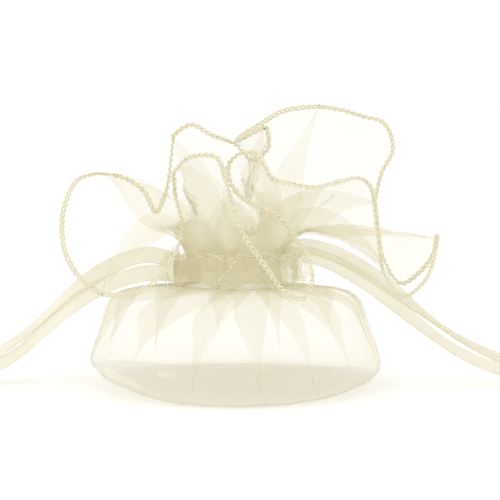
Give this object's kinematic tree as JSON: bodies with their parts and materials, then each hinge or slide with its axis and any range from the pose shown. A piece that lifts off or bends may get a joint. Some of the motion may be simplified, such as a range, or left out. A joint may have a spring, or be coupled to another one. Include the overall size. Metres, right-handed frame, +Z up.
{
  "type": "drawstring gift pouch",
  "caption": "Sheer round cloth gift pouch, gathered by ribbon drawstrings in a sewn casing, with an open ruffled top and a crocheted edge.",
  "frame": {"origin": "on the surface the pouch stands on, under the middle of the pouch, ribbons left out", "axes": "+Z up; X runs across the pouch from one ribbon mouth to the other, +X to the right; -Y is the front, where the ruffle's rim is lowest"},
  "size_m": [0.3048, 0.1041, 0.0886],
  "materials": {
    "organza": "sheer organza, ivory",
    "casing_cloth": "folded organza strip, ivory",
    "edging_thread": "crocheted cotton thread, cream",
    "sewing_thread": "polyester sewing thread, pale ivory",
    "ribbon": "narrow woven ribbon, ivory, slight sheen",
    "tie": "plain paper band"
  },
  "bodies": {
    "pouch": {"organza_base": "organza", "organza_wall": "organza", "organza_neck": "organza", "organza_ruffle": "organza", "rim_edging": "edging_thread", "casing_front": "casing_cloth", "casing_back": "casing_cloth", "casing_seam_lower": "sewing_thread", "casing_seam_upper": "sewing_thread", "hem_stitches_front_left": "sewing_thread", "hem_stitches_front_right": "sewing_thread", "hem_stitches_back_left": "sewing_thread", "hem_stitches_back_right": "sewing_thread", "left_ribbon_in_casing": "ribbon", "right_ribbon_in_casing": "ribbon"},
    "left_drawstring": {"left_strand_front": "ribbon", "left_strand_back": "ribbon", "left_coil": "ribbon", "left_coil_tie": "tie", "left_knot": "ribbon"},
    "right_drawstring": {"right_strand_front": "ribbon", "right_strand_back": "ribbon", "right_coil": "ribbon", "right_coil_tie": "tie", "right_knot": "ribbon"}
  },
  "joints": [
    {"name": "left_drawstring_pull", "type": "slide", "parent": "pouch", "child": "left_drawstring", "axis": [-1, 0, 0], "range_m": [0, 0.008]},
    {"name": "right_drawstring_pull", "type": "slide", "parent": "pouch", "child": "right_drawstring", "axis": [1, 0, 0], "range_m": [0, 0.008]}
  ]
}
